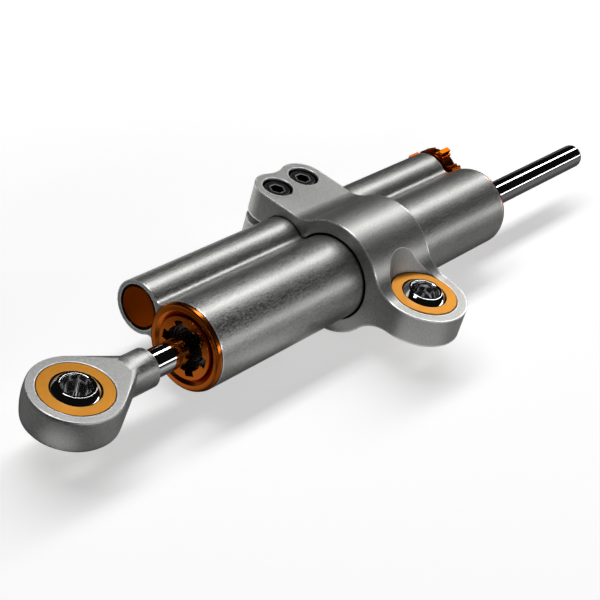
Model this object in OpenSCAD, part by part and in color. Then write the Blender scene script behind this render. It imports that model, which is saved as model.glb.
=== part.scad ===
// Linear steering damper for a motorcycle, with a twin-barrel housing, a piston rod
// that passes through both ends, and a clamp that carries the housing by a spherical bearing.
// The origin is the middle of the clamp's bearing. X runs along the barrels towards the
// adjuster end, Y runs from the bearing towards the clamp's screws, and Z is the bolt axis.

/* [Barrels] */
// Outer diameter of the main barrel
main_d = 31.5; // [31:0.1:32]
// Bore of the main barrel, in which the piston runs
main_bore_d = 27.6; // [27.4:0.1:28]
// Outer diameter of the small barrel
small_d = 19.4; // [18.8:0.1:19.8]
// Length of both barrels
barrel_len = 167; // [150:1:190]
// Distance from the clamp's middle to the barrels' front face
front_reach = 91.2; // [75:0.1:100]
// Sideways distance from the main barrel's axis to the small barrel's
small_y = 23.4; // [23:0.1:24.5]
// Height of the small barrel's axis over the main barrel's
small_z = 0.8; // [0:0.1:2]
// Radius of the valley between the barrels
valley_r = 3; // [2:0.1:4]

/* [Clamp] */
// Length of the clamp along the barrels
clamp_len = 32.6; // [31:0.1:38]
// Outer diameter of the ring round the main barrel
ring_d = 43; // [41:0.5:46]
// Distance from the ear's bearing to the main barrel's axis
ear_reach = 30.3; // [30.1:0.1:33]
// Thickness of the ear
ear_t = 11.4; // [10.8:0.1:11.9]
// Fillet between the ear and the ring
ear_fillet_r = 14; // [8:0.5:16]
// Angle at which the pocket over the bearing flares
pocket_angle = 17.5; // [10:0.1:25]
// Chamfer of the clamp's bore at both its faces
bore_chamfer = 0.6; // [0.2:0.1:1]
// Height of the lug's flat top over the main barrel's axis
lug_top = 13.9; // [13.5:0.1:16]
// Depth of the lug's flat underside below the main barrel's axis
lug_drop = 12; // [11:0.1:13.5]
// Distance from the main barrel's axis to the clamp screws
screw_y = 37.4; // [36.6:0.1:40]
// Distance from each screw to the lug's rounded edge
screw_edge = 8.8; // [8:0.1:9.2]
// Radius of the hollow between the lug's two rounded ends
waist_r = 10.5; // [6:0.5:14]
// Height of the slit that lets the clamp close
slit_h = 3; // [1:0.5:3.5]
// Counterbore diameter over a screw head
counterbore_d = 11.7; // [11:0.1:12.5]
// Counterbore depth
counterbore_h = 6.8; // [6:0.1:7]

/* [Clamp screws] */
// Diameter of the screws' thread
screw_d = 6; // [4:0.5:6]
// Diameter of the screws' heads
screw_head_d = 10; // [8:0.5:10.5]
// Height of the screws' heads
screw_head_h = 6; // [4:0.5:6]
// How far the screws' ends stay inside the lug's underside
screw_end_inset = 1; // [0:0.5:2]
// Width across the flats of the screws' sockets
socket_af = 5; // [3:0.5:6]

/* [Bearings] */
// Bore of a bearing ball
ball_bore_d = 10; // [8:0.5:10.5]
// Diameter of a bearing ball's round surface
ball_d = 19.6; // [19:0.1:20.5]
// Width of a bearing ball along its bore
ball_w = 15.2; // [14:0.1:15.8]
// Outer diameter of a bearing race
race_d = 24.6; // [23:0.1:25]
// Width of a bearing race
race_w = 12; // [11.6:0.1:13]
// Edge chamfer of a race, where the ball comes out
race_chamfer = 0.6; // [0.2:0.1:1]
// Chamfer round a race's outer edges, and round the mouths of its seat
race_edge = 0.2; // [0.1:0.1:0.3]

/* [Rod] */
// Diameter of the piston rod
rod_d = 10; // [9:0.1:10.5]
// Rod that shows between the front cap and the rod end, as stored
rod_gap = 17.2; // [16.5:0.1:30]
// Rod that stands out of the rear cap, as stored
rod_tail = 80.2; // [78:0.1:100]
// Diameter of the threaded stud in the rod end's neck
stud_d = 8; // [6:0.5:8]
// Length of that stud
stud_len = 14; // [10:0.5:15]

/* [Rod end] */
// Diameter of the rod end's head at its flat faces
eye_d = 31.2; // [29:0.1:33]
// How far the head's side bulges between those faces
eye_bulge = 0.6; // [0.2:0.1:1]
// Thickness of the rod end's head
eye_t = 12; // [11:0.1:13]
// Distance from the eye's middle to the end of its neck
neck_reach = 31.7; // [30:0.1:40]
// Diameter of the neck
neck_d = 13.7; // [13:0.1:15]
// Angle of the head's straight sides to the neck
side_angle = 32.3; // [31:0.1:36]

/* [Seal heads] */
// Length of a seal head inside the barrel
head_len = 28; // [26:0.5:32]
// Thickness of a seal head's flange
flange_t = 1.6; // [1.3:0.1:2]
// Rounding of the flange's outer edge
flange_round = 1.1; // [0.3:0.1:1.2]
// Step from the barrel's outer edge in to the flange's edge
flange_step = 0.2; // [0.1:0.1:0.6]
// Width of a spanner notch
notch_w = 3.7; // [3:0.1:4.5]
// Number of spanner notches
notch_count = 6; // [4:1:8]
// Depth of the spanner notches, which pass through the head's lip
notch_h = 2.5; // [1.5:0.1:3]
// Diameter of the opening round the rod
recess_d = 16.2; // [15.4:0.1:16.6]
// Depth of the groove round the notched face
groove_h = 4.5; // [2:0.5:5]
// Length of the wiper's seat
wiper_len = 5; // [4:0.5:5.5]
// Length of the oil seal's groove
seal_len = 5; // [4:0.5:5]
// Distance from the head's inner end to its O-ring
head_oring_back = 5; // [4:0.5:8]
// Length of the bushing that guides the rod
bushing_len = 11; // [8:0.5:11.5]
// Wall of that bushing
bushing_wall = 1; // [0.5:0.1:1.5]

/* [Piston] */
// How far the rod slides in from where it is stored
stroke_in = 15; // [10:1:15]
// Length of the piston
piston_len = 12.6; // [8:0.1:13]
// Width of the piston's ring
piston_ring_w = 6; // [3:0.5:7]
// Thickness of a clip beside the piston
clip_t = 1.2; // [0.8:0.1:1.4]

/* [Reservoir] */
// Bore of the reservoir in the small barrel's front end
reservoir_bore_d = 16.4; // [15:0.1:16.6]
// Depth of that bore
reservoir_depth = 25; // [24:0.5:30]
// Length of the reservoir's plug
plug_len = 7; // [6.5:0.1:8]
// Diameter of the plug's face inside the snap ring
plug_face_d = 15.4; // [14:0.1:15.4]
// Distance from the plug to the reservoir piston, as stored
spring_len = 8; // [7.5:0.5:9]
// Length of the reservoir piston
reservoir_piston_len = 5; // [4:0.5:6]

/* [Adjuster] */
// Diameter of the knob's round body
knob_d = 19.2; // [17:0.1:20]
// Length of the knob's grip
knob_len = 6.8; // [6:0.1:12]
// Diameter over the knob's tall ribs
rib_d = 23.8; // [21:0.1:26]
// Number of ribs round the knob
rib_count = 8; // [6:1:10]
// Width of a rib at its top
rib_w = 2; // [1:0.1:2.5]
// Outer diameter of the valve insert
insert_d = 14; // [12:0.5:14.5]
// Distance from the valve insert's front end to its cross hole
cross_back = 4; // [3.8:0.1:6]
// Distance from the needle's thick part to its O-ring
needle_oring_back = 7; // [5:0.5:9]
// Length of the knob's stem inside the insert
stem_len = 8.3; // [8:0.1:10]
// Depth of the detent's hole in the knob
detent_depth = 4.5; // [4:0.1:5.5]
// Diameter of the needle
needle_d = 4; // [3:0.1:4.4]

/* [Hidden] */
$fn = 96;

// Clearances: of a running fit, of pieces that screw or slide together, and of faces
run = 0.03;
ease = 0.05;
gap = 0.3;
clamp_fit = 0.2;
eps = 0.01;

main_r = main_d / 2;
small_r = small_d / 2;
bore_r = main_bore_d / 2;
rod_r = rod_d / 2;
front_x = -front_reach;
rear_x = front_x + barrel_len;
axis_gap = norm([small_y, small_z]);
screw_gap = clamp_len - 2 * screw_edge;
axis_tilt = atan2(small_z, small_y);

// Stations along X
cap_x = front_x - flange_t;
neck_x = cap_x - rod_gap;
eye_x = neck_x - neck_reach;
tip_x = rear_x + flange_t + rod_tail;

// Seal head, measured from its outer face inwards
flange_r = main_r - flange_step;
head_r = bore_r - ease;
head_end = flange_t + head_len;
boss_r = 11.15;
rim_r = head_r - 0.6;
recess_r = recess_d / 2;
wiper_r = recess_r + 2;
wiper_from = notch_h;
wiper_to = wiper_from + wiper_len;
seal_r = 8;
seal_from = wiper_to + 1.5;
seal_to = seal_from + seal_len;
land_r = rod_r + 0.4;
bushing_from = head_end - bushing_len;
oring_d = 1.8;
head_oring_at = head_end - head_oring_back;

// Piston, kept the same way from both heads by the length of the stroke
chamber_end = rear_x - head_len;
end_gap = 3;
stack_len = piston_len + 2 * clip_t;
piston_x = chamber_end - end_gap - stroke_in - stack_len / 2;

// Reservoir stations
plug_sink = 0.1;
snap_t = 1.2;
snap_wire = 0.8;
plug_end_x = front_x + plug_len;
res_piston_x = plug_end_x + spring_len;
res_r = reservoir_bore_d / 2;
channel_r = 2.5;
port_r = 1.2;

// Adjuster stations
insert_end_x = rear_x - 0.5;
insert_r = insert_d / 2;
rear_port_x = chamber_end - port_r - gap;
insert_x = rear_port_x - cross_back;
insert_len = insert_end_x - insert_x;
front_port_x = front_x + head_len + port_r + gap;
needle_r = needle_d / 2;
seat_x = insert_x + 2;
thick_x = rear_port_x + port_r + 1.8;
seat_r = 1.2;
stem_r = 3.4;
stem_bore_r = 4.6;
stem_x = insert_end_x - stem_len;
knob_bushing_len = 6;
clip_x = insert_end_x - knob_bushing_len - 0.2;
grip_x = rear_x + flange_t + gap;
grip_end_x = grip_x + knob_len;
hub_r = 7.4;
ball_track_r = 5.3;
detent_r = 1;

// Puts a shape that is made along Z at the place x on an axis that runs along X
module along_x(x) {
    translate([x, 0, 0])
        rotate([0, 90, 0])
            children();
}

// Extrudes a profile, drawn with Y across and Z up, along X from x0 to x1
module profile_along_x(x0, x1) {
    translate([x0, 0, 0])
        rotate([90, 0, 90])
            linear_extrude(x1 - x0)
                children();
}

module on_main_axis() {
    translate([0, ear_reach, 0])
        children();
}

module on_small_axis() {
    translate([0, ear_reach + small_y, small_z])
        children();
}

// A round ring between two radii
module ring(r_out, r_in, h) {
    difference() {
        cylinder(r = r_out, h = h);
        translate([0, 0, -1])
            cylinder(r = r_in, h = h + 2);
    }
}

// An O-ring whose section has diameter d, round a seat of radius r
module oring(r, d) {
    rotate_extrude()
        translate([r + d / 2 + eps, 0])
            circle(d = d, $fn = 32);
}

// A spring clip: a flat ring with an open stretch
module open_ring(r_out, r_in, h, open_angle) {
    rotate([0, 0, open_angle / 2])
        rotate_extrude(angle = 360 - open_angle)
            translate([r_in, 0])
                square([r_out - r_in, h]);
}

// A coil spring as one unbroken tube
module coil(r, wire, turns, length) {
    sides = 6;
    steps = 12 * turns;
    rise = (length - wire) / steps;
    points = [for (i = [0:steps]) for (k = [0:sides - 1])
        let (turn = 30 * i, side = 60 * k, out = r + wire / 2 * cos(side))
        [out * cos(turn), out * sin(turn), wire / 2 + rise * i + wire / 2 * sin(side)]];
    walls = [for (i = [0:steps - 1]) for (k = [0:sides - 1])
        let (a = i * sides + k, b = i * sides + (k + 1) % sides)
        for (face = [[a, b, b + sides], [a, b + sides, a + sides]]) face];
    start = [for (k = [1:sides - 2]) [0, k + 1, k]];
    last = steps * sides;
    end = [for (k = [1:sides - 2]) [last, last + k, last + k + 1]];
    polyhedron(points, concat(walls, start, end));
}

// The filled valley between two round outlines whose centres are c apart
module valley(a, b, c, f) {
    u = (c * c + (a + f) * (a + f) - (b + f) * (b + f)) / (2 * c);
    v = sqrt((a + f) * (a + f) - u * u);
    difference() {
        polygon([[0, 0], [c, 0], [u, v]]);
        translate([u, v])
            circle(f);
    }
}

// The twin-barrel outline, larger all round by grow
module barrel_outline(grow) {
    circle(main_r + grow);
    translate([small_y, small_z])
        circle(small_r + grow);
    rotate(axis_tilt)
        for (side = [0, 1])
            mirror([0, side])
                valley(main_r + grow, small_r + grow, axis_gap, valley_r - grow);
}

// A cross hole from the main bore to the small barrel's axis
module port(x) {
    translate([x, 0, 0])
        rotate([axis_tilt - 90, 0, 0])
            translate([0, 0, bore_r - 1])
                cylinder(r = port_r, h = axis_gap - bore_r + 1, $fn = 32);
}

module barrel_housing() {
    color("gray")
        on_main_axis()
            difference() {
                profile_along_x(front_x, rear_x)
                    barrel_outline(0);
                along_x(front_x - 1)
                    cylinder(r = bore_r, h = barrel_len + 2);
                translate([0, small_y, small_z]) {
                    along_x(front_x - 1)
                        cylinder(r = res_r, h = reservoir_depth + 1);
                    along_x(front_x + snap_t)
                        cylinder(r = plug_face_d / 2 + snap_wire + ease, h = snap_t);
                    along_x(front_x + reservoir_depth - 1)
                        cylinder(r = channel_r, h = insert_x - front_x - reservoir_depth + 2, $fn = 48);
                    along_x(insert_x)
                        cylinder(r = insert_r, h = insert_len + 2);
                }
                port(front_port_x);
                port(rear_port_x);
            }
}

// A concave fillet of radius f between the ring and a flat at height h that ends at y
module flat_fillet(y, h, ring_r) {
    f = (y * y + h * h - ring_r * ring_r) / (2 * (ring_r - h));
    difference() {
        polygon([[0, 0], [y, 0], [y, h + f]]);
        translate([y, h + f])
            circle(f);
    }
}

// The fillet between the ring and a flat at height h, given its radius
module ear_fillet(h, ring_r, f) {
    y = sqrt((ring_r + f) * (ring_r + f) - (h + f) * (h + f));
    difference() {
        polygon([[0, 0], [y, 0], [y, h + f]]);
        translate([y, h + f])
            circle(f);
    }
}

// The seat of a bearing's race, cut through a plate of thickness t, with chamfered mouths
module race_seat(t) {
    r = race_d / 2 + eps;
    translate([0, 0, -ring_d])
        cylinder(r = r, h = 2 * ring_d);
    for (side = [0, 1])
        mirror([0, 0, side])
            translate([0, 0, t / 2 - race_edge])
                cylinder(r1 = r, r2 = r + race_edge + eps, h = race_edge + eps);
}

// The clamp seen along the barrels, with Y across and Z up
module clamp_profile() {
    ring_r = ring_d / 2;
    lug_end = screw_y + clamp_len;
    circle(ring_r);
    translate([small_y - 2, -lug_drop])
        square([lug_end - small_y + 2, lug_top + lug_drop]);
    flat_fillet(small_y - 2, lug_top, ring_r);
    mirror([0, 1])
        flat_fillet(small_y - 2, lug_drop, ring_r);
    translate([-ear_reach - clamp_len, -ear_t / 2])
        square([ear_reach + clamp_len, ear_t]);
    for (side = [0, 1])
        mirror([0, side])
            mirror([1, 0])
                ear_fillet(ear_t / 2, ring_r, ear_fillet_r);
}

// The clamp seen from above: a round ear, straight sides and a two-lobed lug
module clamp_plan() {
    half = clamp_len / 2;
    waist_y = sqrt((screw_edge + waist_r) * (screw_edge + waist_r) - screw_gap * screw_gap / 4);
    translate([0, -ear_reach])
        circle(half);
    translate([-half, -ear_reach])
        square([clamp_len, ear_reach + screw_y]);
    for (side = [-1, 1])
        translate([side * screw_gap / 2, screw_y])
            circle(screw_edge);
    translate([0, screw_y])
        difference() {
            polygon([[-screw_gap / 2, 0], [screw_gap / 2, 0], [0, waist_y]]);
            translate([0, waist_y])
                circle(waist_r);
        }
}

// The tool that cuts the mouth of the race's seat and, over it, the flaring pocket
module pocket_cutter() {
    r = race_d / 2 + eps;
    low = ear_t / 2 - race_edge;
    rise = ring_d - ear_t / 2;
    rotate_extrude()
        polygon([[0, low], [r, low], [r + race_edge, ear_t / 2],
            [r + race_edge + rise * tan(pocket_angle), ring_d], [0, ring_d]]);
}

// The cone that chamfers the clamp's bore at its face at x = 0, opening towards -X
module bore_mouth() {
    r = main_r + clamp_fit;
    translate([-1, 0, 0])
        rotate([0, 90, 0])
            cylinder(r1 = r + bore_chamfer + 1, r2 = r, h = bore_chamfer + 1);
}

module clamp_bracket() {
    half = clamp_len / 2;
    seat_z = lug_top - counterbore_h;
    color("darkgray")
        on_main_axis()
            difference() {
                intersection() {
                    profile_along_x(-half, half)
                        clamp_profile();
                    translate([0, 0, -ring_d])
                        linear_extrude(2 * ring_d)
                            clamp_plan();
                }
                profile_along_x(-half - 1, half + 1)
                    barrel_outline(clamp_fit);
                for (side = [0, 1])
                    mirror([side, 0, 0])
                        translate([-half, 0, 0])
                            bore_mouth();
                translate([-half - 1, small_y, small_z - slit_h / 2])
                    cube([clamp_len + 2, screw_y + clamp_len, slit_h]);
                for (side = [-1, 1])
                    translate([side * screw_gap / 2, screw_y, 0]) {
                        translate([0, 0, seat_z])
                            cylinder(d = counterbore_d, h = counterbore_h + 1);
                        translate([0, 0, small_z])
                            cylinder(d = screw_d + 0.6, h = seat_z - small_z + 1);
                        translate([0, 0, -lug_drop - 1])
                            cylinder(d = screw_d, h = lug_drop + small_z + 1);
                    }
                translate([0, -ear_reach, -ring_d])
                    cylinder(r = race_d / 2 + eps, h = 2 * ring_d);
                for (side = [0, 1])
                    mirror([0, 0, side])
                        translate([0, -ear_reach, 0])
                            pocket_cutter();
            }
}

module clamp_screws() {
    seat_z = lug_top - counterbore_h;
    color("#202020")
        on_main_axis()
            for (side = [-1, 1])
                translate([side * screw_gap / 2, screw_y, seat_z])
                    difference() {
                        union() {
                            cylinder(d = screw_head_d, h = screw_head_h - 0.4);
                            translate([0, 0, screw_head_h - 0.4])
                                cylinder(d1 = screw_head_d, d2 = screw_head_d - 0.8, h = 0.4);
                            translate([0, 0, screw_end_inset - seat_z - lug_drop])
                                cylinder(d = screw_d - 2 * ease, h = seat_z + lug_drop);
                        }
                        translate([0, 0, screw_head_h / 2])
                            cylinder(d = socket_af / cos(30), h = screw_head_h, $fn = 6);
                    }
}

// The outer race of a spherical bearing, centred on the origin
module bearing_race(width) {
    mouth_r = sqrt(pow(ball_d / 2 + ease, 2) - pow(width / 2, 2));
    race_r = race_d / 2;
    color("goldenrod")
        difference() {
            translate([0, 0, -width / 2])
                rotate_extrude()
                    polygon([[0, 0], [race_r - race_edge, 0], [race_r, race_edge], [race_r, width - race_edge],
                        [race_r - race_edge, width], [0, width]]);
            sphere(d = ball_d + 2 * ease);
            for (side = [0, 1])
                mirror([0, 0, side])
                    translate([0, 0, width / 2 - race_chamfer])
                        cylinder(r1 = mouth_r, r2 = mouth_r + race_chamfer + eps, h = race_chamfer + eps);
        }
}

// The ball of a spherical bearing, centred on the origin
module bearing_ball() {
    chamfer = 0.3;
    color("silver")
        difference() {
            intersection() {
                sphere(d = ball_d);
                translate([0, 0, -ball_w / 2])
                    cylinder(d = ball_d + 2, h = ball_w);
            }
            translate([0, 0, -ball_w])
                cylinder(d = ball_bore_d, h = 2 * ball_w);
            for (side = [0, 1])
                mirror([0, 0, side])
                    translate([0, 0, ball_w / 2 - chamfer])
                        cylinder(d1 = ball_bore_d, d2 = ball_bore_d + 2 * chamfer + eps, h = chamfer + eps);
        }
}

module ear_bearing_race() {
    bearing_race(race_w);
}

module ear_bearing_ball() {
    bearing_ball();
}

// Places a part of a seal head, made from its outer face inwards, at the front or the rear
module at_front() {
    on_main_axis()
        along_x(cap_x)
            children();
}

module at_rear() {
    on_main_axis()
        translate([rear_x + flange_t, 0, 0])
            mirror([1, 0, 0])
                along_x(0)
                    children();
}

module seal_head() {
    oring_seat_r = head_r - oring_d + ease;
    bushing_r = rod_r + run + bushing_wall;
    color("chocolate")
        difference() {
            rotate_extrude()
                difference() {
                    polygon([[rim_r, 0], [flange_r, 0], [flange_r, flange_t],
                        [head_r, flange_t], [head_r, head_oring_at - 1.2], [oring_seat_r, head_oring_at - 1.2],
                        [oring_seat_r, head_oring_at + 1.2], [head_r, head_oring_at + 1.2], [head_r, head_end],
                        [bushing_r, head_end], [bushing_r, bushing_from], [land_r, bushing_from],
                        [land_r, seal_to], [seal_r, seal_to], [seal_r, seal_from], [land_r, seal_from],
                        [land_r, wiper_to], [wiper_r, wiper_to], [wiper_r, notch_h], [recess_r, notch_h],
                        [recess_r, 0], [boss_r, 0], [boss_r, groove_h], [rim_r, groove_h]]);
                    translate([flange_r - flange_round, flange_round])
                        difference() {
                            translate([0, -flange_round - 1])
                                square(flange_round + 1);
                            circle(flange_round);
                        }
                }
            for (i = [0:notch_count - 1])
                rotate([0, 0, 360 / notch_count * (i + 0.5)])
                    translate([recess_r - 1, -notch_w / 2, -1])
                        cube([2.65, notch_w, notch_h + 1.5]);
        }
}

module head_oring() {
    color("#151515")
        translate([0, 0, head_oring_at])
            oring(head_r - oring_d + ease, oring_d - ease);
}

module wiper_seal() {
    lip_r = rod_r + ease;
    rim = recess_r - 0.5;
    color("#151515")
        rotate_extrude()
            polygon([[wiper_r - eps, wiper_from + eps], [wiper_r - eps, wiper_to - eps], [lip_r + 0.6, wiper_to - eps],
                [lip_r + 0.6, wiper_from + 3], [lip_r, wiper_from + 1.6], [lip_r, wiper_from + 0.6],
                [lip_r + 0.2, wiper_from + 0.4], [lip_r + 0.5, wiper_from + 0.5], [lip_r + 1, wiper_from + 1.4],
                [rim - 0.6, wiper_from + 1.4], [rim - 0.2, wiper_from + 0.4], [rim + 0.2, wiper_from + 0.4],
                [rim + 0.4, wiper_from + 1], [rim + 0.8, wiper_from + 1], [rim + 0.8, wiper_from + eps]]);
}

module rod_seal() {
    lip_r = rod_r + ease;
    color("#151515")
        rotate_extrude()
            polygon([[seal_r - eps, seal_from + eps], [seal_r - eps, seal_to - eps], [seal_r - 1, seal_to - eps],
                [seal_r - 1.3, seal_to - 2.2], [lip_r + 1, seal_to - 2.2], [lip_r + 0.6, seal_to - eps],
                [lip_r, seal_to - 0.8], [lip_r, seal_from + eps]]);
}

module rod_bushing() {
    color("peru")
        translate([0, 0, bushing_from])
            ring(rod_r + run + bushing_wall, rod_r + run, bushing_len);
}

module front_seal_head() {
    at_front()
        seal_head();
}

module front_head_oring() {
    at_front()
        head_oring();
}

module front_wiper_seal() {
    at_front()
        wiper_seal();
}

module front_rod_seal() {
    at_front()
        rod_seal();
}

module front_rod_bushing() {
    at_front()
        rod_bushing();
}

module rear_seal_head() {
    at_rear()
        seal_head();
}

module rear_head_oring() {
    at_rear()
        head_oring();
}

module rear_wiper_seal() {
    at_rear()
        wiper_seal();
}

module rear_rod_seal() {
    at_rear()
        rod_seal();
}

module rear_rod_bushing() {
    at_rear()
        rod_bushing();
}

// The piston, open on the rod between two clips, with a ring in its groove
module piston() {
    piston_r = bore_r - 0.2;
    color("silver")
        on_main_axis()
            along_x(piston_x - piston_len / 2)
                difference() {
                    cylinder(r = piston_r, h = piston_len);
                    translate([0, 0, -1])
                        cylinder(r = rod_r + run, h = piston_len + 2);
                    translate([0, 0, (piston_len - piston_ring_w) / 2])
                        ring(bore_r + 1, bore_r - 1.5, piston_ring_w);
                }
}

module piston_ring() {
    color("peru")
        on_main_axis()
            along_x(piston_x - piston_ring_w / 2 + eps)
                ring(bore_r - run, bore_r - 1.5 + eps, piston_ring_w - 2 * eps);
}

module piston_clips() {
    clip_seat_r = rod_r - 0.6;
    color("dimgray")
        on_main_axis()
            for (side = [-1, 1])
                along_x(piston_x + side * (piston_len / 2 + run + clip_t / 2) - clip_t / 2)
                    open_ring(rod_r + 2, clip_seat_r + eps, clip_t, 40);
}

module piston_rod() {
    near_x = piston_x - piston_len / 2 - run - clip_t - neck_x;
    far_x = piston_x + piston_len / 2 + run - neck_x;
    end_x = tip_x - neck_x;
    clip_seat_r = rod_r - 0.6;
    color("whitesmoke")
        on_main_axis()
            along_x(neck_x)
                rotate_extrude()
                    polygon([[0, -stud_len], [stud_d / 2 - 0.5, -stud_len], [stud_d / 2, 0.5 - stud_len],
                        [stud_d / 2, 0], [rod_r, 0],
                        [rod_r, near_x], [clip_seat_r, near_x], [clip_seat_r, near_x + clip_t],
                        [rod_r, near_x + clip_t], [rod_r, far_x], [clip_seat_r, far_x],
                        [clip_seat_r, far_x + clip_t], [rod_r, far_x + clip_t],
                        [rod_r, end_x - 1.6], [rod_r - 0.3, end_x - 0.7], [rod_r - 0.9, end_x - 0.15],
                        [rod_r - 1.4, end_x], [0, end_x]]);
}

// A round of radius r with a bulging side, a crisp upper edge and a rounded lower one
module eye_round(r) {
    h = eye_t / 2;
    arc_r = (h * h + eye_bulge * eye_bulge) / (2 * eye_bulge);
    side = [for (k = [-0.8:0.2:0.9]) [r + eye_bulge - arc_r + sqrt(arc_r * arc_r - h * h * k * k), h * k]];
    rotate_extrude($fn = 64)
        polygon(concat([[0, -h], [r - 1, -h], [r - 0.3, 0.2 - h], [r + 0.1, 0.7 - h]], side,
            [[r, h - 0.2], [r - 0.2, h], [0, h]]));
}

// The flat that is milled over the head and runs out in a curve on the neck from x
module eye_mill(x) {
    run_out_r = 9;
    translate([0, eye_d, 0])
        rotate([90, 0, 0])
            linear_extrude(2 * eye_d) {
                translate([-eye_d, eye_t / 2])
                    square([eye_d + x, eye_d]);
                translate([x, eye_t / 2 + run_out_r])
                    circle(run_out_r);
            }
}

// The rod end's body: the head's straight sides run on into the neck, down to a small round
module rod_end_eye() {
    neck_r = neck_d / 2;
    edge = 0.8;
    tail_r = 1.5;
    tail_x = (eye_d / 2 - tail_r) / sin(side_angle);
    meet_x = (eye_d / 2 - neck_r * cos(side_angle)) / sin(side_angle);
    color("gray")
        on_main_axis()
            translate([eye_x, 0, 0])
                difference() {
                    union() {
                        hull() {
                            eye_round(eye_d / 2);
                            translate([tail_x, 0, 0])
                                eye_round(tail_r);
                        }
                        along_x(meet_x - 4)
                            cylinder(r = neck_r, h = neck_reach - meet_x + 4 - edge);
                        along_x(neck_reach - edge)
                            cylinder(r1 = neck_r, r2 = neck_r - edge, h = edge);
                    }
                    for (side = [0, 1])
                        mirror([0, 0, side])
                            eye_mill(meet_x + 2.1);
                    race_seat(eye_t);
                    along_x(neck_reach - stud_len - gap)
                        cylinder(d = stud_d + 2 * ease, h = stud_len + 1);
                }
}

module eye_bearing_race() {
    on_main_axis()
        translate([eye_x, 0, 0])
            bearing_race(race_w);
}

module eye_bearing_ball() {
    on_main_axis()
        translate([eye_x, 0, 0])
            bearing_ball();
}

// The plug that closes the reservoir, held by the snap ring round its face
module reservoir_plug() {
    face_r = plug_face_d / 2;
    ring_back = 2 * snap_t - plug_sink;
    groove = ring_back + 1;
    body_r = res_r - ease;
    color("saddlebrown")
        on_small_axis()
            along_x(front_x + plug_sink)
                rotate_extrude()
                    polygon([[0, 0], [face_r - 0.4, 0], [face_r, 0.4], [face_r, ring_back], [body_r, ring_back],
                        [body_r, groove], [body_r - oring_d, groove], [body_r - oring_d, groove + 2.2],
                        [body_r, groove + 2.2], [body_r, plug_len - plug_sink], [0, plug_len - plug_sink]]);
}

module plug_oring() {
    color("#151515")
        on_small_axis()
            along_x(front_x + 2 * snap_t + 1 + 1.1)
                oring(res_r - ease - oring_d, oring_d);
}

module plug_snap_ring() {
    color("#151515")
        on_small_axis()
            along_x(front_x + snap_t + eps)
                rotate([0, 0, 200])
                    open_ring(plug_face_d / 2 + snap_wire, plug_face_d / 2 + ease, snap_t - 2 * eps, 24);
}

module reservoir_spring() {
    wire = 1;
    color("lightgray")
        on_small_axis()
            along_x(plug_end_x + eps)
                coil(res_r - 1.6, wire, 4, spring_len - 2 * eps);
}

module reservoir_piston() {
    groove = reservoir_piston_len / 2;
    body_r = res_r - ease;
    color("silver")
        on_small_axis()
            along_x(res_piston_x)
                rotate_extrude()
                    polygon([[0, 0], [body_r, 0], [body_r, groove - 1], [body_r - oring_d, groove - 1],
                        [body_r - oring_d, groove + 1], [body_r, groove + 1],
                        [body_r, reservoir_piston_len], [3, reservoir_piston_len],
                        [3, reservoir_piston_len - 1], [0, reservoir_piston_len - 1]]);
}

module reservoir_oring() {
    color("#151515")
        on_small_axis()
            along_x(res_piston_x + reservoir_piston_len / 2)
                oring(res_r - ease - oring_d, oring_d);
}

// The insert that carries the needle's seat, with a cross hole in line with the rear port
module valve_insert() {
    groove_x = insert_x + insert_len / 2;
    body_r = insert_r - ease;
    cross_x = rear_port_x;
    color("burlywood")
        on_small_axis()
            difference() {
                along_x(insert_x)
                    cylinder(r = body_r, h = insert_len);
                along_x(insert_x - 1)
                    cylinder(r = seat_r, h = 4, $fn = 32);
                along_x(seat_x)
                    cylinder(r = needle_r + run, h = insert_len, $fn = 48);
                along_x(stem_x - gap)
                    cylinder(r = stem_bore_r, h = insert_len);
                along_x(cross_x - 1.5)
                    ring(insert_r + 1, insert_r - 1.5, 3);
                translate([cross_x, 0, -insert_r - 1])
                    cylinder(r = port_r, h = 2 * insert_r + 2, $fn = 32);
                along_x(groove_x - 1.2)
                    ring(insert_r + 1, body_r - oring_d, 2.4);
            }
}

module insert_oring() {
    color("#151515")
        on_small_axis()
            along_x(insert_x + insert_len / 2)
                oring(insert_r - ease - oring_d, oring_d);
}

module knob_bushing() {
    color("peru")
        on_small_axis()
            along_x(insert_end_x - knob_bushing_len)
                ring(stem_bore_r - eps, stem_r + run, knob_bushing_len);
}

// The needle, whose thin front end throttles the seat
module adjuster_needle() {
    tip_from = seat_x - 1;
    waist = 1.3;
    waist_len = thick_x - seat_x;
    oring_at = waist_len + needle_oring_back;
    end_at = grip_end_x - 3.5 - seat_x;
    color("silver")
        on_small_axis()
            along_x(seat_x)
                rotate_extrude()
                    polygon([[0, tip_from - seat_x], [0.3, tip_from - seat_x], [seat_r - 0.1, 0.6], [waist, 0.6],
                        [waist, waist_len], [needle_r, waist_len + 1],
                        [needle_r, oring_at - 0.6], [needle_r - 0.6, oring_at - 0.6],
                        [needle_r - 0.6, oring_at + 0.6], [needle_r, oring_at + 0.6],
                        [needle_r, end_at - 0.5], [needle_r - 0.5, end_at], [0, end_at]]);
}

module needle_oring() {
    color("#151515")
        on_small_axis()
            along_x(thick_x + needle_oring_back)
                oring(needle_r - 0.6, 0.58);
}

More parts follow.
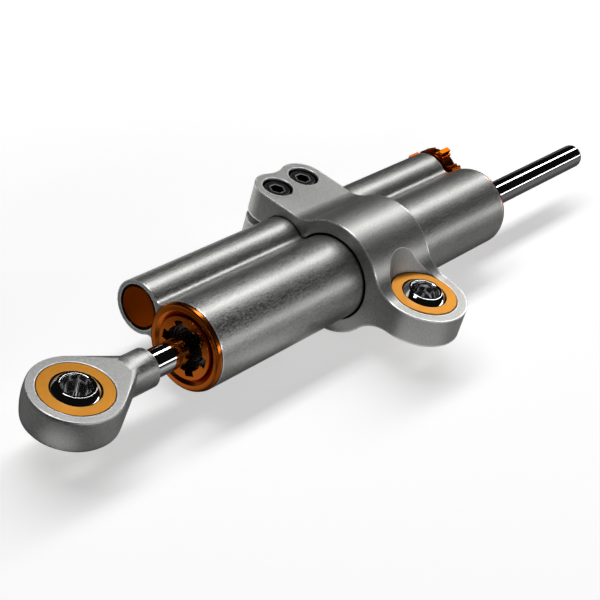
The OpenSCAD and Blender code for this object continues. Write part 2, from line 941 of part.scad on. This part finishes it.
// The knob: a stem that turns in the insert, a round body and a rib at each step
module adjuster_knob() {
    low_rib = 1;
    edge = 0.5;
    knob_r = knob_d / 2;
    color("chocolate")
        on_small_axis()
            difference() {
                union() {
                    along_x(stem_x)
                        cylinder(r = stem_r, h = grip_x - stem_x);
                    along_x(rear_x + gap / 2)
                        cylinder(r = hub_r, h = grip_x - rear_x);
                    along_x(grip_x)
                        cylinder(r = knob_r, h = knob_len - edge);
                    along_x(grip_end_x - edge)
                        cylinder(r1 = knob_r, r2 = knob_r - edge, h = edge);
                    for (i = [0:rib_count - 1])
                        rotate([360 / rib_count * (i + 1 / 6), 0, 0])
                            knob_rib(i == low_rib ? knob_r + 0.3 : rib_d / 2);
                }
                along_x(stem_x - 1)
                    cylinder(r = needle_r + run, h = grip_end_x - stem_x - 1.5);
                along_x(clip_x - clip_t)
                    ring(stem_r + 1, stem_r - 0.6, clip_t);
                translate([0, ball_track_r, 0])
                    along_x(rear_x - 1)
                        cylinder(r = detent_r + run, h = detent_depth + 1, $fn = 32);
            }
}

// A rib along the knob: a wide foot and a narrow crown out to radius r
module knob_rib(r) {
    foot_r = min(knob_d / 2 + 0.8, r);
    foot_w = rib_w + 1.8;
    front_inset = 0.6;
    rib_len = knob_len - front_inset - 0.2;
    root_r = foot_r - 4;
    translate([grip_x + front_inset, root_r, -foot_w / 2])
        cube([rib_len, foot_r - root_r, foot_w]);
    translate([grip_x + front_inset, root_r, -rib_w / 2])
        cube([rib_len, r - root_r, rib_w]);
}

module knob_clip() {
    color("dimgray")
        on_small_axis()
            along_x(clip_x - clip_t + eps)
                open_ring(stem_bore_r - 0.2, stem_r - 0.6 + eps, clip_t - 2 * eps, 60);
}

module detent_ball() {
    color("lightgray")
        on_small_axis()
            translate([insert_end_x + detent_r + run, ball_track_r, 0])
                sphere(r = detent_r, $fn = 32);
}

module detent_spring() {
    from_x = insert_end_x + 2 * detent_r + 2 * run;
    color("lightgray")
        on_small_axis()
            translate([0, ball_track_r, 0])
                along_x(from_x)
                    coil(detent_r - 0.25, 0.35, 4, rear_x + detent_depth - eps - from_x);
}

barrel_housing();
clamp_bracket();
clamp_screws();
ear_bearing_race();
ear_bearing_ball();
front_seal_head();
front_head_oring();
front_wiper_seal();
front_rod_seal();
front_rod_bushing();
rear_seal_head();
rear_head_oring();
rear_wiper_seal();
rear_rod_seal();
rear_rod_bushing();
piston();
piston_ring();
piston_rod();
piston_clips();
rod_end_eye();
eye_bearing_race();
eye_bearing_ball();
reservoir_plug();
plug_oring();
plug_snap_ring();
reservoir_spring();
reservoir_piston();
reservoir_oring();
valve_insert();
insert_oring();
knob_bushing();
adjuster_needle();
needle_oring();
adjuster_knob();
knob_clip();
detent_ball();
detent_spring();
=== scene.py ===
from math import cos, pi, radians, sin
import bpy
from mathutils import Matrix, Vector


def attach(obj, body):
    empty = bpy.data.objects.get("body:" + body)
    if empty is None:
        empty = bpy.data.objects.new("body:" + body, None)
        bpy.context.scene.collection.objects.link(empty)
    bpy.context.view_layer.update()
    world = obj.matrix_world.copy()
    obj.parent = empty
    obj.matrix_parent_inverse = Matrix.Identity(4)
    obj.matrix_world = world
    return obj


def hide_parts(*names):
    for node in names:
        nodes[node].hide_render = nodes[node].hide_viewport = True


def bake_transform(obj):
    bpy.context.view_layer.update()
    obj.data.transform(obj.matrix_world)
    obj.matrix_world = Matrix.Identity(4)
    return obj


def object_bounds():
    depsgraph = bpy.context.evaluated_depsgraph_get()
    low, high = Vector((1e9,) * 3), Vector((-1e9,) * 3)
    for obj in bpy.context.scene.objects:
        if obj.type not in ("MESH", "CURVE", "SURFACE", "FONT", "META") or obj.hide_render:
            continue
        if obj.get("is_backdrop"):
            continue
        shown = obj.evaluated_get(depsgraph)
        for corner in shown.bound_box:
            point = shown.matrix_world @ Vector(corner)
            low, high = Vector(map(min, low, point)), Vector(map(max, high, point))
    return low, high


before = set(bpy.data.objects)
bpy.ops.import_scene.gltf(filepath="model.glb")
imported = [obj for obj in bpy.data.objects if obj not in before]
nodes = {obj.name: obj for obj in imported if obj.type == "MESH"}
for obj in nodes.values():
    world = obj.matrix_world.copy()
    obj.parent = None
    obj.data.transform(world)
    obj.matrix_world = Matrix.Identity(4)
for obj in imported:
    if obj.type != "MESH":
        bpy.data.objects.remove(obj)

cad_low, cad_high = (list(corner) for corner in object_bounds())
bpy.ops.object.select_all(action="DESELECT")


# Barrel housing: one aluminium extrusion with a large and a small barrel side by side.
# It is bored and faced, bead blasted and anodised a satin titanium grey, with a painted highlight on its
# edges and painted shade in its creases.
def node_maker(material):
    """Returns a function that adds a node to the material and sets its inputs."""
    tree = material.node_tree

    def add(kind, **inputs):
        node = tree.nodes.new("ShaderNode" + kind)
        for name, value in inputs.items():
            socket = node.inputs[name.replace("_", " ")]
            if isinstance(value, bpy.types.NodeSocket):
                tree.links.new(value, socket)
            else:
                socket.default_value = value
        return node

    return add


def stretch_range(add, value, low, high, to_low, to_high):
    """Maps the value from low to high on to another range, and stops at its ends."""
    node = add("MapRange", Value=value)
    for name, number in (("From Min", low), ("From Max", high), ("To Min", to_low), ("To Max", to_high)):
        node.inputs[name].default_value = number
    return node.outputs["Result"]


def combine(add, operation, one, other):
    """Adds or multiplies two values, of which the second may be a plain number."""
    node = add("Math", Value=one)
    node.operation = operation
    if isinstance(other, bpy.types.NodeSocket):
        node.id_data.links.new(other, node.inputs[1])
    else:
        node.inputs[1].default_value = other
    return node.outputs["Value"]


def metal_finish(name, light, dark, rough, grain, grain_size, relief=0.2, drawn=(1, 1, 1), edge=None,
                 bare=0.6, edge_width=0.0003, round_by=0.0003, lathe_axis=None, joint=0.0,
                 grazing=(1, 1, 1)):
    """A metal whose colour wanders between two tones, with a fine grain, rounded edges and a painted
    highlight on its convex edges.

    The grain is how far the colour and the roughness stray, and drawn stretches it along X, Y and Z.
    All sizes are in metres. Edge is the lighter colour painted on convex edges as a highlight, and bare how
    metallic they are there.
    On a turned piece the grain lies in rings round a point of its axis, which runs along X.
    With painted shade, the colour darkens in creases and where another piece meets it, within the given
    width.
    The grazing tint keeps a coloured skin's hue where it is seen edge on."""
    material = bpy.data.materials.new(name)
    material.use_nodes = True
    add = node_maker(material)
    links = material.node_tree.links
    shader = material.node_tree.nodes["Principled BSDF"]
    shader.inputs["Metallic"].default_value = 1.0
    shader.inputs["Specular Tint"].default_value = (*grazing, 1)
    place = add("TexCoord").outputs["Object"]
    along = add("Mapping", Vector=place, Scale=drawn).outputs["Vector"]
    if lathe_axis:
        to_axis = (0, -lathe_axis[0], -lathe_axis[1])
        centred = add("Mapping", Vector=place, Location=to_axis).outputs["Vector"]
        flat = add("Mapping", Vector=centred, Scale=(0, 1, 1)).outputs["Vector"]
        radius = add("VectorMath")
        radius.operation = "LENGTH"
        links.new(flat, radius.inputs[0])
        station = add("SeparateXYZ", Vector=centred).outputs["X"]
        along = add("CombineXYZ", X=station, Y=radius.outputs["Value"]).outputs["Vector"]
    clouds_per_metre = 45.0
    cloud = add("TexNoise", Vector=place, Scale=clouds_per_metre, Detail=3.0).outputs["Fac"]
    fine = add("TexNoise", Vector=along, Scale=1 / grain_size, Detail=2.0).outputs["Fac"]
    lightness = stretch_range(add, cloud, 0.35, 0.65, 0, 1)
    tone = add("MixRGB", Fac=lightness, Color1=(*dark, 1), Color2=(*light, 1))
    speck = stretch_range(add, fine, 0.3, 0.7, 1 - grain, 1 + grain)
    colour = add("MixRGB", Fac=1.0, Color1=tone.outputs["Color"], Color2=speck)
    colour.blend_type = "MULTIPLY"
    gloss = stretch_range(add, fine, 0.3, 0.7, rough - grain / 2, rough + grain / 2)
    rounded = add("Bevel", Radius=round_by)
    rounded.samples = 6
    grain_depth = 0.00004
    bump = add("Bump", Height=fine, Strength=relief, Distance=grain_depth, Normal=rounded.outputs["Normal"])
    # Painted highlight: near convex edges, found by inward occlusion, the colour turns lighter and less
    # metallic, and the roughness drops.
    if edge:
        depth = add("AmbientOcclusion", Distance=edge_width)
        depth.inside = True
        depth.samples = 16
        painted_edge_highlight = stretch_range(add, depth.outputs["AO"], 0.93, 0.72, 0, 0.95)
        colour = add("MixRGB", Fac=painted_edge_highlight, Color1=colour.outputs["Color"], Color2=(*edge, 1))
        gloss = combine(add, "MULTIPLY", gloss, stretch_range(add, painted_edge_highlight, 0, 1, 1, 0.7))
        links.new(stretch_range(add, painted_edge_highlight, 0, 1, 1, bare), shader.inputs["Metallic"])
    # Painted shade: occlusion darkens the colour in creases and where other pieces come close.
    if joint:
        corner = add("AmbientOcclusion", Distance=joint)
        corner.samples = 12
        shade = stretch_range(add, corner.outputs["AO"], 0.5, 0.9, 0.06, 1)
        colour = add("MixRGB", Fac=1.0, Color1=colour.outputs["Color"], Color2=shade)
        colour.blend_type = "MULTIPLY"
    links.new(colour.outputs["Color"], shader.inputs["Base Color"])
    links.new(gloss, shader.inputs["Roughness"])
    links.new(bump.outputs["Normal"], shader.inputs["Normal"])
    return material


def finish(material, *names):
    """Gives CAD nodes their finish."""
    for name in names:
        for slot in nodes[name].material_slots:
            slot.material = material


titanium_grey = metal_finish("titanium grey", (0.475, 0.475, 0.46), (0.43, 0.43, 0.415), 0.42, 0.20, 0.00055,
                             relief=0.5, drawn=(0.6, 1, 1), edge=(0.92, 0.92, 0.91), bare=0.8,
                             edge_width=0.0009, round_by=0.0005, joint=0.0016)
finish(titanium_grey, "barrel_housing")


# Clamp bracket: milled from aluminium bar and anodised to match the barrels.
# Two screws close it round both barrels, and its ear carries a spherical bearing.
# Its finish has a painted highlight on the edges and painted shade in the creases and where it meets the
# barrels.
clamp_grey = metal_finish("clamp grey", (0.475, 0.475, 0.46), (0.43, 0.43, 0.415), 0.43, 0.20, 0.0005,
                          relief=0.5, edge=(0.95, 0.95, 0.94), bare=0.8, edge_width=0.0009,
                          round_by=0.0005, joint=0.0016)
finish(clamp_grey, "clamp_bracket")


# Clamp screws: two socket-head cap screws in counterbores, black oxide on steel.
# They pull the two halves of the clamp's lug together across its slit.
# The screw heads' edges carry a painted highlight, and painted shade darkens where they sit in their
# counterbores.
black_oxide = metal_finish("black oxide", (0.04, 0.04, 0.042), (0.025, 0.025, 0.026), 0.30, 0.05, 0.0003,
                           edge=(0.55, 0.55, 0.55), bare=0.2, edge_width=0.0005, round_by=0.0003, joint=0.001)
finish(black_oxide, "clamp_screws")


# Bearings: one in the clamp's ear and one in the rod end, 10 mm bore, alike.
# Each has a gold-passivated race, turned and pressed in, round a hard chromed and polished ball.
smooth_below = radians(32)


def turned(name, profile, centre, axis, steps=96, edge=0.0):
    """Spins a profile, in millimetres along the axis and out from it, round an axis through centre."""
    out = Vector((0, 0, 1)) if axis.x else Vector((1, 0, 0))
    points = [centre + (axis * along + out * radius) / 1000 for along, radius in profile]
    bpy.ops.object.select_all(action="DESELECT")
    bpy.ops.mesh.primitive_plane_add(size=0.001)
    piece = bpy.context.object
    piece.name = name
    bpy.ops.object.mode_set(mode="EDIT")
    bpy.ops.mesh.merge(type="CENTER")
    bpy.ops.transform.translate(value=points[0])
    for start, end in zip(points, points[1:]):
        bpy.ops.mesh.extrude_region_move(TRANSFORM_OT_translate={"value": end - start})
    bpy.ops.mesh.select_all(action="SELECT")
    bpy.ops.mesh.spin(steps=steps, angle=2 * pi, center=centre, axis=axis)
    bpy.ops.mesh.select_all(action="SELECT")
    bpy.ops.mesh.remove_doubles(threshold=0.000002)
    bpy.ops.mesh.normals_make_consistent(inside=False)
    bpy.ops.object.mode_set(mode="OBJECT")
    if edge:
        break_edges(piece, edge)
    bpy.ops.object.shade_smooth_by_angle(angle=smooth_below)
    return piece


def break_edges(piece, width):
    """Rounds the piece's sharp edges a little, as a file or a turning tool does."""
    bevel = piece.modifiers.new("broken edges", "BEVEL")
    bevel.limit_method = "ANGLE"
    bevel.angle_limit = smooth_below
    bevel.width = width
    bevel.segments = 3
    bpy.ops.object.modifier_apply(modifier=bevel.name)


def dress(piece, material, body, node):
    """Gives a new piece its finish and its body, and hides the CAD node that it stands for."""
    piece.data.materials.clear()
    piece.data.materials.append(material)
    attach(piece, body)
    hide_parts(node)


bolts_way = Vector((0, 0, 1))
ear_middle = Vector((0, 0, 0))
eye_middle = Vector((-0.1417, 0.0303, 0))
race_outline = [(5.8, 12.3), (-5.8, 12.3), (-6.0, 12.1), (-6.0, 8.35), (-5.4, 8.25)]
race_outline += [(-9.83 * cos(a), 9.83 * sin(a)) for a in [radians(57 + 3 * k) for k in range(23)]]
race_outline += [(5.4, 8.25), (6.0, 8.35), (6.0, 12.1), (5.8, 12.3)]
ball_outline = [(7.3, 5.0), (7.6, 5.3), (7.6, 6.19)]
ball_outline += [(9.8 * cos(a), 9.8 * sin(a)) for a in [radians(39.5 + 3.606 * k) for k in range(29)]]
ball_outline += [(-7.6, 6.19), (-7.6, 5.3), (-7.3, 5.0), (7.3, 5.0)]

# The races' edges carry a painted highlight, and painted shade darkens their creases and the line round them.
race_gold = metal_finish("race gold", (0.63, 0.27, 0.036), (0.57, 0.24, 0.031), 0.42, 0.06, 0.0003,
                         relief=0.35, drawn=(0.12, 1.6, 1.6), edge=(0.75, 0.42, 0.10),
                         round_by=0.0002, joint=0.0009)
ball_chrome = metal_finish("ball chrome", (0.80, 0.80, 0.81), (0.76, 0.76, 0.77), 0.03, 0.01, 0.0003,
                           relief=0.0, round_by=0.0002)
for place, middle, race_body, ball_body in (("ear", ear_middle, "housing", "ear_ball"),
                                            ("eye", eye_middle, "rod", "eye_ball")):
    race = turned(place + "_race", race_outline, middle, bolts_way)
    dress(race, race_gold, race_body, place + "_bearing_race")
    ball = turned(place + "_ball", ball_outline, middle, bolts_way, steps=128, edge=0.00015)
    dress(ball, ball_chrome, ball_body, place + "_bearing_ball")


# Seal heads: turned caps that screw into both ends of the main barrel, with six spanner notches.
# They are aluminium with a bright copper-orange anodised skin.
barrels_way = Vector((1, 0, 0))
main_axis = (0.0303, 0)
head_outline = [(0.0, 13.15), (0.0, 14.45)]
head_outline += [(1.1 - 1.1 * cos(a), 14.45 + 1.1 * sin(a)) for a in [radians(15 * k) for k in range(1, 7)]]
head_outline += [(1.6, 15.55), (1.6, 13.75), (23.4, 13.75), (23.4, 12.0), (25.8, 12.0), (25.8, 13.75),
                 (29.6, 13.75), (29.6, 6.03), (18.6, 6.03), (18.6, 5.4), (14.0, 5.4), (14.0, 8.0), (9.0, 8.0),
                 (9.0, 5.4), (7.5, 5.4), (7.5, 10.1), (2.5, 10.1), (2.5, 8.1), (0.0, 8.1), (0.0, 11.15),
                 (4.5, 11.15), (4.5, 11.35), (1.3, 11.4), (0.0, 13.15)]
copper_orange = metal_finish("copper orange", (0.66, 0.155, 0.017), (0.57, 0.13, 0.014), 0.23, 0.04, 0.0005,
                             relief=0.04, round_by=0.0002, lathe_axis=main_axis, grazing=(1, 0.8, 0.6))
notch_size = (0.004, 0.0027, 0.0037)
notch_centre_in = 0.001
notch_centre_out = 0.0084
for place, outer_face, inwards in (("front", -0.0928, 1), ("rear", 0.0774, -1)):
    centre = Vector((outer_face, *main_axis))
    head = turned(place + "_head", head_outline, centre, barrels_way * inwards, steps=120)
    bpy.ops.object.select_all(action="DESELECT")
    for turn in range(0, 360, 60):
        around = radians(turn)
        reach = Vector((notch_centre_in * inwards, notch_centre_out * cos(around),
                        notch_centre_out * sin(around)))
        bpy.ops.mesh.primitive_cube_add(size=1, location=centre + reach, rotation=(around, 0, 0),
                                        scale=notch_size)
        if turn:
            cutter.select_set(True)
            bpy.context.view_layer.objects.active = cutter
            bpy.ops.object.join()
        cutter = bpy.context.object
    notches = head.modifiers.new("spanner notches", "BOOLEAN")
    notches.object = cutter
    notches.solver = "EXACT"
    bpy.context.view_layer.objects.active = head
    bpy.ops.object.modifier_apply(modifier=notches.name)
    bpy.data.objects.remove(cutter)
    bpy.ops.object.select_all(action="DESELECT")
    head.select_set(True)
    bpy.ops.object.shade_smooth_by_angle(angle=smooth_below)
    dress(head, copper_orange, "housing", place + "_seal_head")


# Adjuster knob: turned and milled from aluminium, with the same orange skin.
# It turns on a stem inside the small barrel, and its ribs give the fingers a hold.
small_axis = (0.0537, 0.0008)
# Painted shade darkens the knob's creases and the roots of its ribs.
knob_orange = metal_finish("knob orange", (0.57, 0.118, 0.010), (0.48, 0.095, 0.008), 0.22, 0.04, 0.0005,
                           relief=0.05, round_by=0.0003, lathe_axis=small_axis, joint=0.0009,
                           grazing=(0.95, 0.45, 0.15))
finish(knob_orange, "adjuster_knob")


# Seals: moulded black nitrile rubber, wet with oil where the rod wipes them.
# They sit in turned grooves. The plug's snap ring is steel, as black as they are.
seal_black = metal_finish("seal black", (0.016, 0.016, 0.016), (0.010, 0.010, 0.010), 0.18, 0.05, 0.0005)
seal_black.node_tree.nodes["Principled BSDF"].inputs["Metallic"].default_value = 0.0
finish(seal_black, "front_wiper_seal", "rear_wiper_seal", "front_rod_seal", "rear_rod_seal",
       "front_head_oring", "rear_head_oring", "plug_oring", "reservoir_oring", "insert_oring", "needle_oring",
       "plug_snap_ring")


# Bushings and the piston's ring: turned bronze, pressed in and bored to a running fit.
# They guide the rod, the piston and the knob's stem, and none of them shows.
bushing_bronze = metal_finish("bushing bronze", (0.50, 0.32, 0.16), (0.42, 0.27, 0.13), 0.35, 0.05, 0.0006)
finish(bushing_bronze, "front_rod_bushing", "rear_rod_bushing", "piston_ring", "knob_bushing")


# Piston rod: steel bar, hard chromed, ground and polished, right through both heads.
# Its rear tip is rounded, and a thinner stud at its front screws into the rod end.
rod_outline = [(-14, 0), (-14, 3.5), (-13.5, 4), (0, 4), (0, 4.9), (0.1, 5), (265.8, 5), (266.3, 4.93),
               (266.8, 4.74), (267.2, 4.42), (267.45, 4.05), (267.55, 3.6), (267.6, 3.0), (267.6, 0)]
rod_chrome = metal_finish("rod chrome", (0.82, 0.82, 0.83), (0.78, 0.78, 0.79), 0.05, 0.02, 0.0003,
                          relief=0.01, lathe_axis=main_axis)
neck_end = Vector((-0.110, *main_axis))
rod = turned("rod", rod_outline, neck_end, barrels_way, steps=128)
dress(rod, rod_chrome, "rod", "piston_rod")


# Rod end: a forged steel eye on a threaded neck, its two faces milled flat and its edges broken.
# It screws on to the rod's stud, and the second bearing is pressed into it.
def merged_copy(name, node):
    """A piece of the CAD node's own shape, its loose triangles merged and shaded smooth."""
    piece = bpy.data.objects.new(name, nodes[node].data.copy())
    bpy.context.scene.collection.objects.link(piece)
    bpy.ops.object.select_all(action="DESELECT")
    piece.select_set(True)
    bpy.context.view_layer.objects.active = piece
    bpy.ops.mesh.customdata_custom_splitnormals_clear()
    bpy.ops.object.mode_set(mode="EDIT")
    bpy.ops.mesh.select_all(action="SELECT")
    bpy.ops.mesh.remove_doubles(threshold=0.000001)
    bpy.ops.object.mode_set(mode="OBJECT")
    bpy.ops.object.shade_smooth_by_angle(angle=radians(35))
    return piece


rod_eye = merged_copy("rod_eye", "rod_end_eye")
# Its edges carry a painted highlight, and painted shade darkens its creases.
forged_grey = metal_finish("forged grey", (0.475, 0.475, 0.47), (0.42, 0.42, 0.415), 0.43, 0.18, 0.0005,
                           relief=0.5, drawn=(1.2, 0.4, 1), edge=(0.92, 0.92, 0.92), bare=0.8,
                           edge_width=0.0009, round_by=0.0005, joint=0.0011)
dress(rod_eye, forged_grey, "rod", "rod_end_eye")


# Reservoir plug: a turned aluminium disc, anodised a dark orange, with a groove for its O-ring.
# It closes the small barrel's front end, behind its snap ring.
plug_outline = [(0, 0), (0, 7.05), (0.3, 7.35), (2.3, 7.35), (2.3, 8.15), (3.3, 8.15),
                (3.3, 6.35), (5.5, 6.35), (5.5, 8.15), (6.9, 8.15), (6.9, 0)]
plug_face = Vector((-0.0911, *small_axis))
plug = turned("plug", plug_outline, plug_face, barrels_way)
# The plug's rim carries a painted highlight, and painted shade darkens its grooves.
plug_orange = metal_finish("plug orange", (0.33, 0.055, 0.0015), (0.29, 0.047, 0.001), 0.28, 0.05, 0.0004,
                           relief=0.1, edge=(0.6, 0.14, 0.012), edge_width=0.0005, round_by=0.0002,
                           lathe_axis=small_axis, joint=0.001, grazing=(0.95, 0.45, 0.15))
dress(plug, plug_orange, "housing", "reservoir_plug")


# Small parts inside: the two pistons, the clips, the valve insert with its needle, and the detent.
# They are turned or coiled from steel or light alloy and left bare, and none of them shows.
spring_steel = metal_finish("spring steel", (0.45, 0.45, 0.46), (0.4, 0.4, 0.41), 0.3, 0.05, 0.0004)
finish(spring_steel, "piston_clips", "detent_spring", "knob_clip", "piston", "reservoir_piston",
       "valve_insert", "detent_ball", "adjuster_needle")


# Float spring: a coil of four turns between the plug and the floating piston.
# One end stays on the plug and the other moves with the piston; here the coil is one fixed piece, attached to
# neither.
float_spring = merged_copy("float_spring", "reservoir_spring")
float_spring.data.materials.clear()
float_spring.data.materials.append(spring_steel)
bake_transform(float_spring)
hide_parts("reservoir_spring")


# Floor: a wide sheet of white paper under the damper, which takes its shadow.
# It glows a little, for the camera and for what mirrors it only, so that it looks pale.
floor_z = cad_low[2] - 0.0001
paper_glow = 0.50
bpy.ops.object.select_all(action="DESELECT")
bpy.ops.mesh.primitive_plane_add(size=8.0, location=(0, 0.03, floor_z))
floor = bpy.context.object
floor.name = "floor"
paper = bpy.data.materials.new("white paper")
paper.use_nodes = True
add = node_maker(paper)
paper_shader = paper.node_tree.nodes["Principled BSDF"]
paper_shader.inputs["Base Color"].default_value = (0.84, 0.84, 0.84, 1)
paper_shader.inputs["Roughness"].default_value = 0.9
paper_shader.inputs["Specular IOR Level"].default_value = 0.0
paper_shader.inputs["Emission Color"].default_value = (1, 1, 1, 1)
rays = add("LightPath")
mirrored = combine(add, "ADD", rays.outputs["Is Glossy Ray"], rays.outputs["Is Transmission Ray"])
seen = combine(add, "ADD", rays.outputs["Is Camera Ray"], mirrored)
seen.node.use_clamp = True
glow = combine(add, "MULTIPLY", seen, paper_glow)
paper.node_tree.links.new(glow, paper_shader.inputs["Emission Strength"])
floor.data.materials.append(paper)
floor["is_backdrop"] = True


# Grey card: it lies just over the floor, and only polished and satin metal shows it.
# It glows, though it is no lamp, with painted reflections: patches of light and dark grey, placed part by
# part, that the metal mirrors in place of a dark studio.
card_z = floor_z + 0.00005
card_scale = 4
bpy.ops.object.select_all(action="DESELECT")
bpy.ops.mesh.primitive_grid_add(x_subdivisions=2, y_subdivisions=2, size=1, location=(0, 0, card_z))
card = bpy.context.object
card.name = "grey_card"
bpy.ops.object.mode_set(mode="EDIT")
bpy.ops.transform.resize(value=(card_scale, card_scale, 1))
bpy.ops.object.mode_set(mode="OBJECT")
card_grey = bpy.data.materials.new("grey card")
card_grey.use_nodes = True
add = node_maker(card_grey)
links = card_grey.node_tree.links
card_position = add("NewGeometry").outputs["Position"]
card_place = add("SeparateXYZ", Vector=card_position)


def fade(axis, low, high, to_low, to_high):
    """A tone that changes smoothly along X or Y, from one place in metres to another."""
    result = stretch_range(add, card_place.outputs[axis], low, high, to_low, to_high)
    result.node.interpolation_type = "SMOOTHSTEP"
    return result


def overlap(one, other):
    """The part of the card where two tones meet."""
    return combine(add, "MULTIPLY", one, other)


def from_position(operation, vector):
    """The distance of the card's points from a place, or how far they lie along a direction."""
    node = add("VectorMath")
    node.operation = operation
    links.new(card_position, node.inputs[0])
    node.inputs[1].default_value = vector
    return node.outputs["Value"]


def spot(x, y, near, far):
    """A tone of 1 round a place, in metres, that fades to 0 from the near radius to the far one."""
    away = from_position("DISTANCE", (x, y, floor_z))
    result = stretch_range(add, away, near, far, 1, 0)
    result.node.interpolation_type = "SMOOTHSTEP"
    return result


def bar(x, y, angle, width, reach):
    """A narrow strip through a place of the card, turned by the angle, that ends at its reach."""
    along = from_position("DOT_PRODUCT", (-sin(angle), cos(angle), 0))
    across = add("Math", Value=combine(add, "ADD", along, x * sin(angle) - y * cos(angle)))
    across.operation = "ABSOLUTE"
    return overlap(stretch_range(add, across.outputs["Value"], width / 2, width, 1, 0),
                   spot(x, y, reach, reach + 0.002))


def tinted(tone, where, grey):
    """The tone so far, with a grey laid over it where the patch is."""
    return add("MixRGB", Fac=where, Color1=tone, Color2=(grey, grey, grey, 1)).outputs["Color"]


open_floor = overlap(fade("Y", 0.066, 0.086, 0, 1),
                     overlap(fade("X", -0.05, -0.02, 0, 1), fade("X", 0.085, 0.115, 1, 0)))
under_barrels = overlap(overlap(fade("Y", -0.006, 0.018, 0, 1), fade("Y", 0.07, 0.10, 1, 0)),
                        fade("X", -0.125, -0.10, 0, 1))
ahead_of_lugs = overlap(fade("X", -0.05, -0.03, 1, 0), fade("Y", 0.08, 0.095, 0, 1))
behind_rod = overlap(fade("X", 0.115, 0.13, 0, 1), fade("Y", 0.0, 0.03, 0.6, 1))
ahead_of_barrels = overlap(fade("X", -0.125, -0.105, 1, 0), fade("Y", 0.035, 0.055, 0, 1))
rod_end_side = spot(-0.173, 0.013, 0.006, 0.030)
ear_side = spot(-0.024, -0.040, 0.022, 0.046)
ear_left_side = spot(-0.044, -0.014, 0.010, 0.024)
clamp_low_front = spot(-0.029, 0.022, 0.004, 0.012)
tone = tinted((0.26, 0.26, 0.26, 1), fade("X", -0.18, -0.13, 1, 0), 0.10)
for patch, grey in ((under_barrels, 0.04), (ahead_of_lugs, 0.14), (ahead_of_barrels, 0.20),
                    (rod_end_side, 0.72), (ear_side, 0.58), (ear_left_side, 0.75),
                    (clamp_low_front, 0.55), (behind_rod, 0.07)):
    tone = tinted(tone, patch, grey)
# Painted reflections for the chrome balls: a dark disc and three bright streaks round each bearing.
bore_reflection_streaks = ((8, 0.25), (31, 0.9), (52, 0.25))
for middle in (eye_middle, ear_middle):
    tone = tinted(tone, spot(middle.x, middle.y, 0.0215, 0.027), 0.01)
    for degrees_round, grey in bore_reflection_streaks:
        tone = tinted(tone, bar(middle.x, middle.y, radians(degrees_round), 0.0012, 0.022), grey)
cap_low_face = spot(-0.106, 0.038, 0.006, 0.018)
plug_low_face = spot(-0.112, 0.060, 0.006, 0.014)
cap_top_face = spot(-0.138, 0.060, 0.008, 0.020)
for patch, grey in ((cap_low_face, 0.5), (plug_low_face, 0.36), (cap_top_face, 0.03)):
    tone = tinted(tone, patch, grey)
# The card glows with these painted reflections, and is clear where the open floor shows.
painted_reflection_glow = add("Emission", Color=tone)
clear = add("BsdfTransparent")
sheet = add("MixShader", Fac=open_floor)
links.new(painted_reflection_glow.outputs["Emission"], sheet.inputs[1])
links.new(clear.outputs["BSDF"], sheet.inputs[2])
links.new(sheet.outputs["Shader"], card_grey.node_tree.nodes["Material Output"].inputs["Surface"])
card.data.materials.append(card_grey)
card.visible_camera = False
card.visible_diffuse = False
card.visible_shadow = False
card.visible_transmission = False
card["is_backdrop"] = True


# Lights: two long soft boxes along the barrels, one overhead and one low on the ear's side.
# Each draws one long bright stripe on the barrels and on the rod.
lamps_middle = Vector((0.9, 0.03, 0))


def soft_box(name, angle, width, length, power):
    """A long soft box a metre off, at an angle from +Y towards +Z round the main barrel."""
    direction = Vector((0, cos(radians(angle)), sin(radians(angle))))
    light = bpy.data.lights.new(name, "AREA")
    light.shape = "RECTANGLE"
    light.size = length
    light.size_y = width
    light.energy = power
    lamp = bpy.data.objects.new(name, light)
    bpy.context.scene.collection.objects.link(lamp)
    along = Vector((1, 0, 0))
    turn = Matrix((along, direction.cross(along), direction)).transposed()
    lamp.matrix_world = Matrix.Translation(lamps_middle + direction) @ turn.to_4x4()


soft_box("overhead soft box", 70.5, 0.22, 3.2, 13.5)
soft_box("side soft box", 163, 0.13, 3.2, 5.5)

world = bpy.data.worlds.new("studio")
bpy.context.scene.world = world
world.use_nodes = True
room_grey = 0.004
add = node_maker(world)
horizon = stretch_range(add, add("LightPath").outputs["Is Camera Ray"], 0, 1, room_grey, 1)
world.node_tree.links.new(horizon, world.node_tree.nodes["Background"].inputs["Color"])


# Camera: from the rod end's side, above the clamp's ear.
# It is rolled a little, so that the barrels climb to the right.
camera_data = bpy.data.cameras.new("camera")
camera_data.sensor_width = 36.0
camera_data.lens = 91.03
camera_data.clip_start = 0.01
camera = bpy.data.objects.new("camera", camera_data)
bpy.context.scene.collection.objects.link(camera)
right = Vector((0.63282, -0.73732, 0.23641)).normalized()
ahead = Vector((0.70560, 0.42342, -0.56819)).normalized()
upward = right.cross(ahead)
camera.matrix_world = (Matrix.Translation((-0.41285, -0.19879, 0.30253))
                       @ Matrix((right, upward, -ahead)).transposed().to_4x4())
bpy.context.scene.camera = camera
bpy.context.scene.view_settings.view_transform = "Standard"
